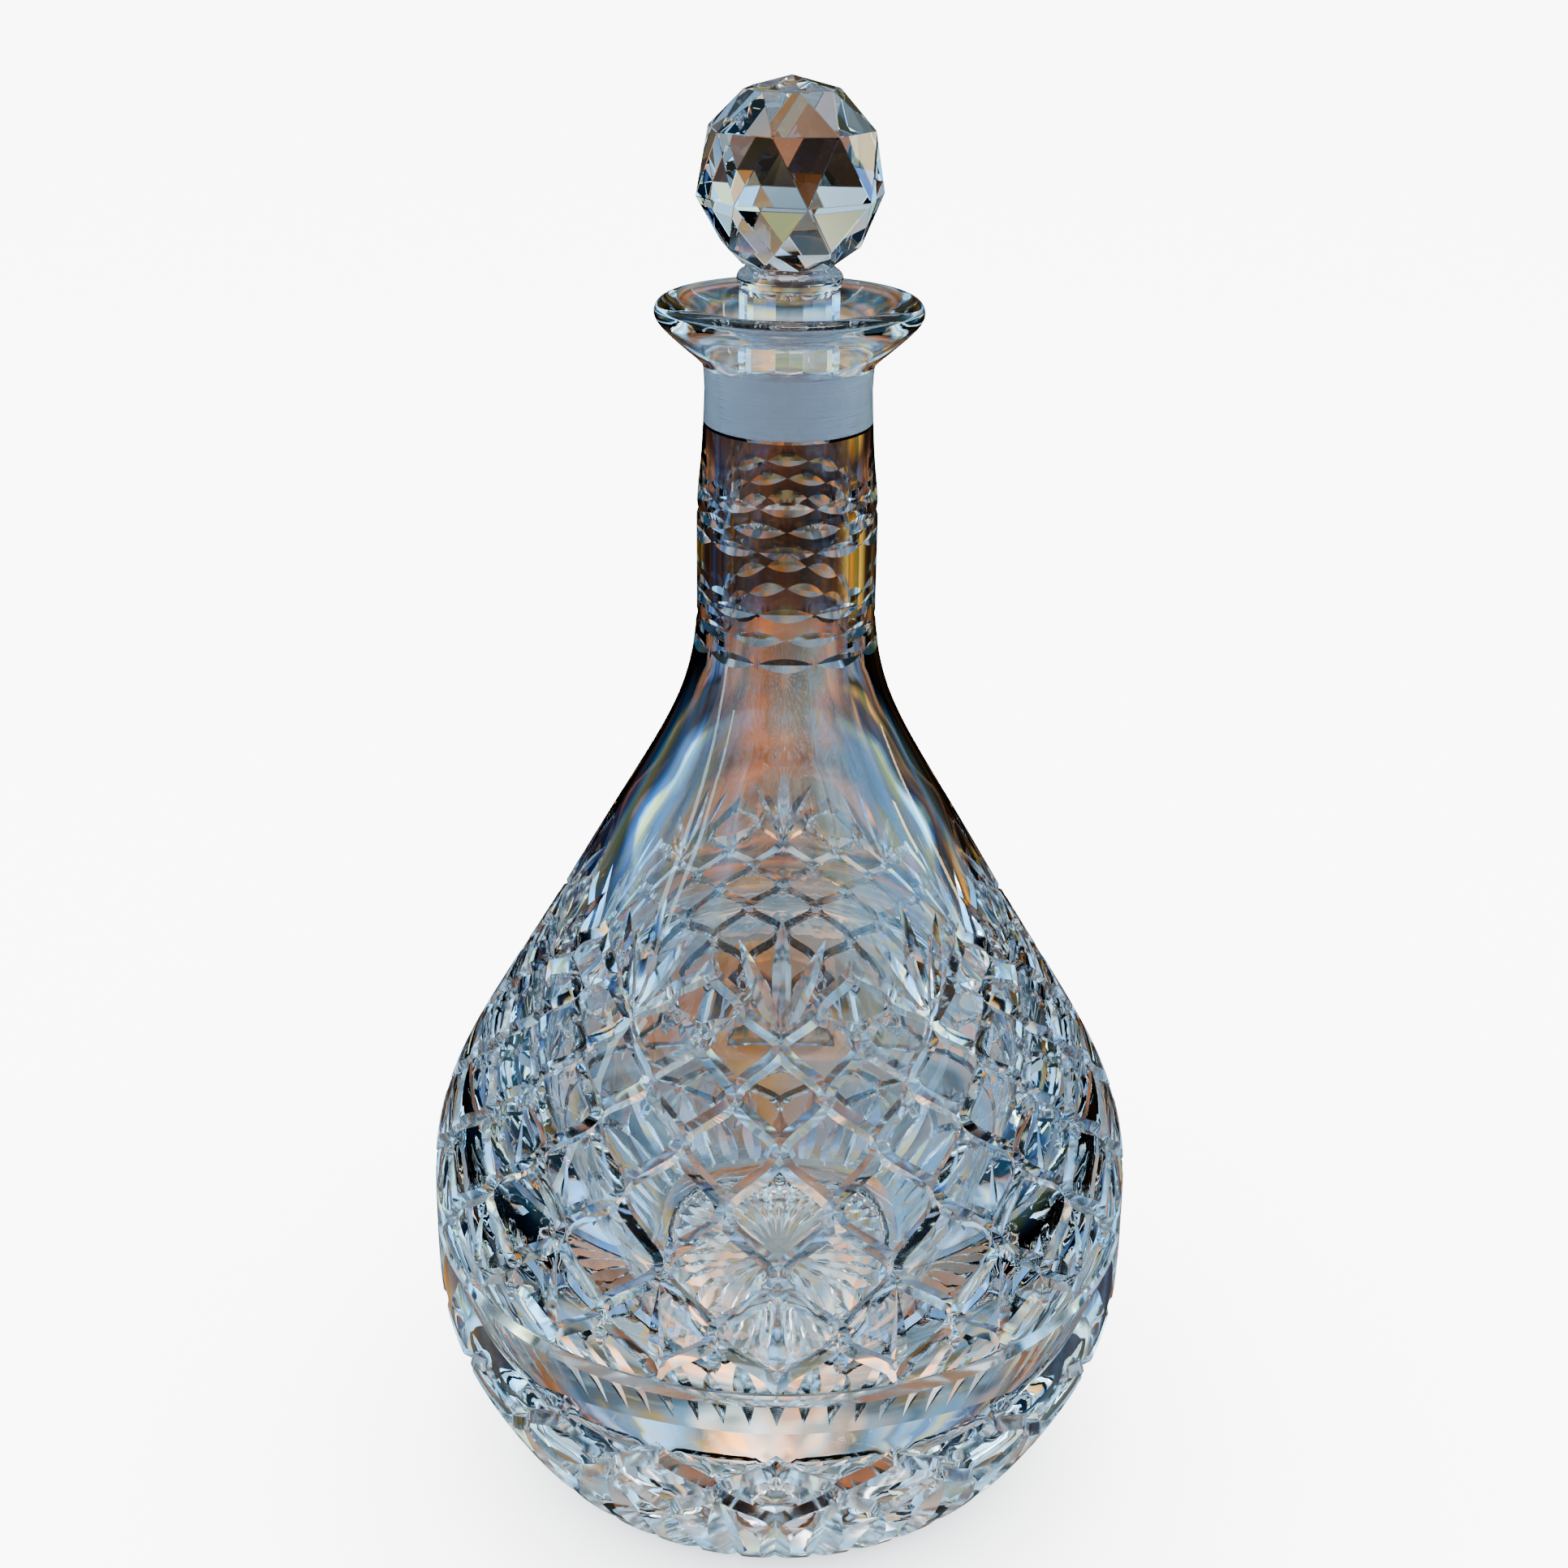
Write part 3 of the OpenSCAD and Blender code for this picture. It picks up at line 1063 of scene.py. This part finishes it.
    def build(self) -> bpy.types.Object:
        """One closed mesh: underside with its star, cut wall, lip, throat and bowl.

        Returns:
            The body, dressed and tied to its node.
        """
        o = self.outline
        under, side, neck, lip = o.underside(), o.side(), o.neck(), o.lip()
        throat, bowl = o.inside()
        side_strip, neck_strip = Strip(side), Strip(neck)
        side_cuts = self._side_cuts(side_strip) + self._neck_cuts(side_strip, self.low_band)
        neck_cuts = self._neck_cuts(neck_strip, self.high_band)
        walls = (
            CutWall(Strip(under), self._star(), spacing=1.6, wide=0.35),
            CutWall(side_strip, side_cuts, spacing=1.8, wide=1.0),
            CutWall(neck_strip, neck_cuts, spacing=1.0, wide=0.29),
        )
        middle = np.array([[o.punt_flat_r, o.punt_h], [o.punt_flat_r / 2, o.punt_h]])
        ring = np.array([under[-1], [(under[-1, 0] + side[0, 0]) / 2, 0.0], side[0]])
        step = np.array([throat[-1], bowl[0]])
        polished, ground = Surface.POLISHED.slot, Surface.GROUND.slot
        parts = [wall.build() for wall in walls] + [
            (*turned(ring), polished),
            (*turned(middle, close_end=True), polished),
            (*turned(lip), polished),
            (*turned(throat), ground),
            (*turned(step), polished),
            (*turned(bowl, close_end=True), polished),
        ]
        piece = into_mesh("cut_body", parts)
        for finish in (POLISHED, GROUND, CUT):
            piece.data.materials.append(bpy.data.materials[finish.name])
        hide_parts("decanter_body")
        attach(piece, "body")
        return piece


@dataclass
class Stopper:
    """The one-piece stopper: faceted ball, collar, stem with flats, ground plug."""

    ball_r: float = 16.7
    ball_z: float = 259.2
    facets: int = 8
    ball_turn: float = -12.5
    # rings of corners on the ball: angle from the top, and turn in facet pitches
    rings: tuple[Point, ...] = ((30, 0.5), (61, 0.0), (100, 0.5), (132, 0.0), (150, 0.5))
    facet_bevel: float = 0.09
    stem_r: float = 8.1
    stem_flats: int = 8
    collar_r: float = 9.3
    plug_low: Point = (11.8, 216.5)
    plug_high: Point = (12.3, 227.5)
    steps_around: int = 192
    tip_r: float = 0.5  # radius of the turned shape's ends, which a fan of triangles closes

    def _ball(self) -> bpy.types.Object:
        """The ball: three-sided facets between rings of corners.

        Formula: ring corner k lies at radius r, at the ring's angle from the top, turned by
        (k + the ring's turn) pitches; the ball is the hull of all the corners and a top point.

        Returns:
            The ball, not yet joined to the stem.
        """
        tilt = np.radians(np.array([ring[0] for ring in self.rings]))[:, None]
        step = np.arange(self.facets)[None] + np.array([ring[1] for ring in self.rings])[:, None]
        turn = 2 * np.pi * step / self.facets + math.radians(self.ball_turn)
        corner = np.stack(
            [np.sin(tilt) * np.sin(turn), -np.sin(tilt) * np.cos(turn), np.cos(tilt) + 0 * turn], 2
        ).reshape(-1, 3)
        corner = np.concatenate([corner, [[0.0, 0.0, 1.0]]]) * self.ball_r
        mesh = bpy.data.meshes.new("ball")
        mesh.from_pydata(((corner + [0, 0, self.ball_z]) * MM).tolist(), [], [])
        bm = bmesh.new()
        bm.from_mesh(mesh)
        bmesh.ops.convex_hull(bm, input=bm.verts)
        bmesh.ops.dissolve_limit(bm, angle_limit=math.radians(1), verts=bm.verts, edges=bm.edges)
        bmesh.ops.bevel(
            bm, geom=bm.edges[:], offset=self.facet_bevel * MM, segments=1, affect="EDGES",
            profile=0.5,
        )
        bmesh.ops.recalc_face_normals(bm, faces=bm.faces)
        bm.to_mesh(mesh)
        bm.free()
        return stand("ball", mesh)

    def _profile(self) -> Array:
        """Plug, stem and collar before the flats are cut.

        Returns:
            [radius, height] points from the middle of the plug's foot to just inside the ball.
        """
        low, high = self.plug_low, self.plug_high
        foot, corner = self._ball_foot(), self._corner_r()
        base = [(self.tip_r, low[1]), (5, low[1]), (low[0] - 1, low[1])]
        edge = [base[-1], (low[0] - 0.3, low[1] + 0.12), (low[0], low[1] + 0.5)]
        rise = [
            high, (high[0] - 0.3, high[1] + 0.6), (high[0] - 1.2, high[1] + 1.2),
            (corner + 1.2, high[1] + 2.2), (corner + 0.2, high[1] + 3.4), (corner, high[1] + 5),
        ]
        collar = [
            (corner, foot - 4.2), (corner + 0.1, foot - 3.3), (self.collar_r - 0.3, foot - 2.7),
            (self.collar_r, foot - 1.8), (self.collar_r - 0.3, foot - 0.9), (8.0, foot - 0.1),
            (7.2, foot + 1.5),
        ]
        spans = (
            (base, 2), (edge, 0.3), ([edge[-1], high], 1.2), (rise, 0.5),
            ([rise[-1], collar[0]], 1.0), (collar, 0.35),
        )
        lines = [even_curve(np.array(points), step) for points, step in spans]
        line = np.concatenate([lines[0]] + [part[1:] for part in lines[1:]])
        return np.concatenate([line, [[self.tip_r, foot + 1.5]]])

    def _ball_foot(self) -> float:
        """Height at which the collar meets the ball."""
        return self.ball_z - self.ball_r + 1.6

    def _corner_r(self) -> float:
        """Radius of the corners between the stem's flats."""
        return self.stem_r / math.cos(math.pi / self.stem_flats)

    def _stem(self) -> bpy.types.Object:
        """Plug, stem and collar as one turned shape whose stem has flats.

        Formula: radius(turn, height) is the round profile's radius, drawn in on the stem to that
        of a regular polygon, r cos(pi/n) / cos(turn mod 2pi/n - pi/n), by a share that fades out
        at both ends of the stem.

        Returns:
            The stem, not yet joined to the ball.
        """
        line, foot, count = self._profile(), self._ball_foot(), self.steps_around
        points, tris = turned(line, count)
        z = points[:, 2] / MM
        turn = np.arctan2(points[:, 0], -points[:, 1])
        pitch = 2 * np.pi / self.stem_flats
        poly = math.cos(pitch / 2) / np.cos(np.mod(turn, pitch) - pitch / 2)
        share = np.clip((z - self.plug_high[1] - 2.0) / 2.5, 0, 1)
        share = share * np.clip(foot - 3.2 - z, 0, 1)
        points[:, :2] *= (1 + share * (poly - 1))[:, None]
        last = len(points)
        points = np.concatenate([points, [[0, 0, line[0, 1] * MM], [0, 0, line[-1, 1] * MM]]])
        a = np.arange(count)
        b = (a + 1) % count
        top = last - count
        caps = [
            np.stack([b, a, np.full(count, last)], axis=1),
            np.stack([top + a, top + b, np.full(count, last + 1)], axis=1),
        ]
        return into_mesh("stem", [(points, np.concatenate([tris, *caps]), Surface.POLISHED.slot)])

    def build(self) -> bpy.types.Object:
        """The stem and the ball fused into one closed piece of glass.

        Returns:
            The stopper, dressed and tied to its node.
        """
        ball, stem = self._ball(), self._stem()
        for finish in (POLISHED, GROUND):
            stem.data.materials.append(bpy.data.materials[finish.name])
        fuse = stem.modifiers.new("fuse", "BOOLEAN")
        fuse.operation = "UNION"
        fuse.solver = "EXACT"
        fuse.object = ball
        graph = bpy.context.evaluated_depsgraph_get()
        mesh = bpy.data.meshes.new_from_object(stem.evaluated_get(graph))
        mesh.name = "cut_stopper"
        bpy.data.objects.remove(ball)
        bpy.data.objects.remove(stem)
        bm = bmesh.new()
        bm.from_mesh(mesh)
        bmesh.ops.triangulate(bm, faces=[f for f in bm.faces if len(f.verts) > 4])
        open_edges = sum(1 for e in bm.edges if len(e.link_faces) != 2)
        LOG.info("cut_stopper: %d faces, %d edges not shared by two", len(bm.faces), open_edges)
        bm.to_mesh(mesh)
        bm.free()
        centre = np.empty(3 * len(mesh.polygons), dtype=np.float32)
        mesh.polygons.foreach_get("center", centre)
        z = centre[2::3] / MM
        on_plug = (z > self.plug_low[1] + 0.4) & (z < self.plug_high[1] + 0.1)
        slot = np.where(on_plug, Surface.GROUND.slot, Surface.POLISHED.slot).astype(np.int32)
        mesh.polygons.foreach_set("material_index", slot)
        mesh.shade_smooth()
        mesh.set_sharp_from_angle(angle=math.radians(9))
        piece = stand("cut_stopper", mesh)
        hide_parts("stopper")
        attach(piece, "stopper")
        return piece


# ---------------------------------------------------------------- studio


@dataclass(frozen=True)
class SoftBox:
    """A rectangular studio light."""

    name: str
    place: tuple[float, float, float]
    size: tuple[float, float]
    power: float
    colour: Colour

    def make(self) -> None:
        """Hangs the light and turns it to the middle of the object.

        Formula: its back looks away from the middle, its side is level, and its up is across both.
        """
        lamp = bpy.data.lights.new(self.name, "AREA")
        lamp.shape = "RECTANGLE"
        lamp.size, lamp.size_y = self.size
        lamp.energy = self.power
        lamp.color = self.colour
        holder = stand(self.name, lamp)
        place = np.array(self.place)
        away = place - np.array([0, 0, CENTRE_HEIGHT])
        away = away / np.linalg.norm(away)
        side = np.cross([0, 0, 1.0], away)
        side = side / np.linalg.norm(side)
        up = np.cross(away, side)
        holder.matrix_world = Matrix(
            [[*row, p] for row, p in zip(np.stack([side, up, away], axis=1).tolist(), place)]
            + [[0, 0, 0, 1]]
        )


@dataclass
class Studio:
    """Camera, floor, surroundings and lights."""

    camera_height: float = 0.313
    camera_distance: float = 0.3823
    look_down: float = 23.5
    roll: float = 0.67
    focal: float = 50.31
    white: float = 13.0
    # what the glass bends towards the eye: colours by how steeply a ray climbs
    ahead: Stops = (
        (-1.0, (3.4, 2.1, 1.5)), (-0.97, (2.6, 1.7, 1.25)), (-0.94, (0.36, 0.46, 0.52)),
        (-0.8, (0.27, 0.36, 0.42)), (-0.72, (0.2, 0.28, 0.36)), (-0.64, (0.34, 0.31, 0.32)),
        (-0.56, (0.4, 0.24, 0.17)), (-0.48, (0.42, 0.2, 0.11)), (-0.42, (0.24, 0.1, 0.055)),
        (-0.37, (0.06, 0.025, 0.016)), (-0.3, (0.02, 0.01, 0.008)), (-0.2, (0.02, 0.012, 0.01)),
        (-0.15, (0.4, 0.17, 0.04)), (-0.08, (0.015, 0.015, 0.02)), (0.03, (0.62, 0.58, 0.56)),
        (0.12, (0.1, 0.11, 0.17)), (0.25, (0.9, 0.55, 0.15)), (0.4, (0.1, 0.06, 0.04)),
        (0.6, (1.1, 1.1, 1.1)), (1.0, (0.6, 0.7, 0.9)),
    )
    to_left: Stops = (
        (-1.0, (1.3, 2.4, 3.4)), (-0.75, (0.6, 1.2, 2.1)), (-0.55, (0.2, 0.32, 0.62)),
        (-0.4, (0.05, 0.04, 0.07)), (-0.2, (0.015, 0.015, 0.03)), (-0.07, (0.1, 0.3, 0.8)),
        (-0.02, (0.8, 1.9, 2.5)), (0.02, (0.8, 1.9, 2.5)), (0.07, (0.5, 1.3, 2.3)),
        (0.22, (0.7, 1.6, 2.6)), (0.3, (1.8, 1.2, 0.4)), (0.38, (0.9, 1.8, 2.6)),
        (0.6, (1.8, 3.2, 4.2)), (1.0, (0.8, 1.3, 2.0)),
    )
    to_right: Stops = (
        (-1.0, (1.3, 2.4, 3.4)), (-0.75, (0.6, 1.2, 2.1)), (-0.55, (0.2, 0.32, 0.58)),
        (-0.38, (0.05, 0.03, 0.02)), (-0.31, (0.8, 0.45, 0.06)), (-0.25, (0.12, 0.07, 0.02)),
        (-0.12, (0.02, 0.02, 0.04)), (-0.07, (0.1, 0.3, 0.8)),
        (-0.02, (0.8, 1.9, 2.5)), (0.02, (0.8, 1.9, 2.5)), (0.07, (0.5, 1.3, 2.3)),
        (0.3, (1.3, 2.8, 4.0)), (0.6, (1.7, 3.2, 4.3)), (1.0, (1.2, 2.0, 2.9)),
    )
    # how far to the side a ray must lean to start leaving the field ahead, and to have left it
    side_from: Point = (0.4, 0.62)
    mirrored: float = 0.35  # share of the surroundings' brightness that the outside mirrors
    patch_scale: float = 3.4
    patch_light: Point = (0.45, 1.5)  # brightness of the darkest and the lightest patches
    hue_scale: float = 5.5
    hues: Stops = (
        (0.36, (0.55, 1.0, 1.35)), (0.45, (0.85, 1.0, 1.08)), (0.56, (1.1, 0.98, 0.88)),
        (0.64, (1.7, 1.1, 0.42)),
    )
    floor_half: float = 6.0
    floor_shade: float = 0.92
    # cool on the left, warm on the right, white from above and behind
    lamps: tuple[SoftBox, ...] = (
        SoftBox("cool_left", (-0.9, -0.25, 0.5), (0.05, 0.9), 1.2, (0.6, 0.86, 1.0)),
        SoftBox("warm_right", (0.85, 0.35, 0.55), (0.04, 0.7), 1.0, (1.0, 0.8, 0.4)),
        SoftBox("white_top", (0.1, 0.3, 1.1), (0.3, 0.3), 2, (1.0, 0.98, 0.95)),
    )

    def camera(self) -> None:
        """The camera: looks down at the decanter from close by."""
        cam = bpy.data.cameras.new("camera")
        cam.lens = self.focal
        cam.sensor_width = 36.0
        cam.clip_start = 0.01
        holder = stand("camera", cam)
        holder.matrix_world = (
            Matrix.Translation((0, -self.camera_distance, self.camera_height))
            @ Matrix.Rotation(math.radians(90 - self.look_down), 4, "X")
            @ Matrix.Rotation(math.radians(self.roll), 4, "Z")
        )
        bpy.context.scene.camera = holder

    def floor(self) -> None:
        """A pale floor that the glass does not mirror, so that the cuts keep their contrast."""
        mesh = bpy.data.meshes.new("floor")
        w = self.floor_half
        mesh.from_pydata([(-w, -w, 0), (w, -w, 0), (w, w, 0), (-w, w, 0)], [], [(0, 1, 2, 3)])
        floor = stand("floor", mesh)
        mat = bpy.data.materials.new("pale_floor")
        mat.use_nodes = True
        base = mat.node_tree.nodes["Principled BSDF"]
        base.inputs["Base Color"].default_value = (*[self.floor_shade] * 3, 1)
        base.inputs["Roughness"].default_value = 0.9
        mesh.materials.append(mat)
        floor.visible_transmission = False
        floor.visible_glossy = False

    def _field(self, pen: NodeWriter, where: bpy.types.NodeSocket) -> bpy.types.NodeSocket:
        """Colour by direction: what lies ahead, fading to the sides' own colours.

        Args:
            pen: Writer of the surroundings' nodes.
            where: The direction looked at.

        Returns:
            The colour's output.
        """
        split = pen.add("SeparateXYZ")
        pen.link(where, split.inputs["Vector"])
        climb, side = split.outputs["Z"], split.outputs["X"]
        none, full, ends = (0.0, 0.0, 0.0), (1.0, 1.0, 1.0), (-1.0, 1.0)
        near, far = self.side_from
        left = pen.ramp(side, ends, ((-1.0, full), (-far, full), (-near, none), (1.0, none)))
        right = pen.ramp(side, ends, ((-1.0, none), (near, none), (far, full), (1.0, full)))
        field_left = pen.mixed(
            left, pen.ramp(climb, ends, self.ahead), pen.ramp(climb, ends, self.to_left)
        )
        return pen.mixed(right, field_left, pen.ramp(climb, ends, self.to_right))

    def _patched(self, pen: NodeWriter, where: bpy.types.NodeSocket,
                 colour: bpy.types.NodeSocket) -> bpy.types.NodeSocket:
        """The colour, lighter and darker and of changing hue in soft patches.

        Args:
            pen: Writer of the surroundings' nodes.
            where: The direction looked at.
            colour: The even colour.

        Returns:
            The patchy colour's output.
        """
        cloud = pen.add("TexNoise", {"Scale": self.patch_scale, "Detail": 1.5, "Distortion": 0.6})
        pen.link(where, cloud.inputs["Vector"])
        glow = pen.add("VectorMath")
        glow.operation = "SCALE"
        pen.link(colour, glow.inputs[0])
        pen.link(
            pen.ranged(cloud.outputs["Fac"], (0.4, 0.62), self.patch_light), glow.inputs["Scale"]
        )
        hue = pen.add("TexNoise", {"Scale": self.hue_scale, "Detail": 2.0})
        pen.link(where, hue.inputs["Vector"])
        tinted = pen.add("VectorMath")
        tinted.operation = "MULTIPLY"
        pen.link(glow.outputs["Vector"], tinted.inputs[0])
        hue_ends = (self.hues[0][0], self.hues[-1][0])
        pen.link(pen.ramp(hue.outputs["Fac"], hue_ends, self.hues), tinted.inputs[1])
        return tinted.outputs["Vector"]

    def surroundings(self) -> None:
        """Soft surroundings: white to the eye; cool, warm and dark fields for glass to bend."""
        world = bpy.data.worlds.new("studio")
        bpy.context.scene.world = world
        world.use_nodes = True
        world.node_tree.nodes.clear()
        pen = NodeWriter(world.node_tree)
        where = pen.add("TexCoord").outputs["Generated"]
        ray = pen.add("LightPath")
        room = pen.add("Background")
        pen.link(self._patched(pen, where, self._field(pen, where)), room.inputs["Color"])
        sheen = pen.ranged(ray.outputs["Is Transmission Ray"], (0.0, 1.0), (self.mirrored, 1.0))
        pen.link(sheen, room.inputs["Strength"])
        white = pen.add("Background", {"Color": (1, 1, 1, 1), "Strength": self.white})
        plainly = pen.add("Math")
        plainly.operation = "MAXIMUM"
        pen.link(ray.outputs["Is Camera Ray"], plainly.inputs[0])
        pen.link(ray.outputs["Is Diffuse Ray"], plainly.inputs[1])
        mix = pen.add("MixShader")
        pen.link(plainly.outputs["Value"], mix.inputs["Fac"])
        pen.link(room.outputs["Background"], mix.inputs[1])
        pen.link(white.outputs["Background"], mix.inputs[2])
        pen.link(mix.outputs["Shader"], pen.add("OutputWorld").inputs["Surface"])

    def build(self) -> None:
        """Everything around the object."""
        self.camera()
        self.floor()
        self.surroundings()
        for lamp in self.lamps:
            lamp.make()


def main() -> None:
    """Builds the studio, the body and the stopper."""
    logging.basicConfig(level=logging.INFO, format="%(name)s: %(message)s")
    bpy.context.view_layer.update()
    for finish in (POLISHED, GROUND, CUT):
        finish.make()
    Studio().build()
    for maker in (Body(), Stopper()):
        piece = maker.build()
        piece.data.calc_loop_triangles()
        LOG.info("made %s: %d triangles", piece.name, len(piece.data.loop_triangles))


if __name__ == "__main__":
    main()
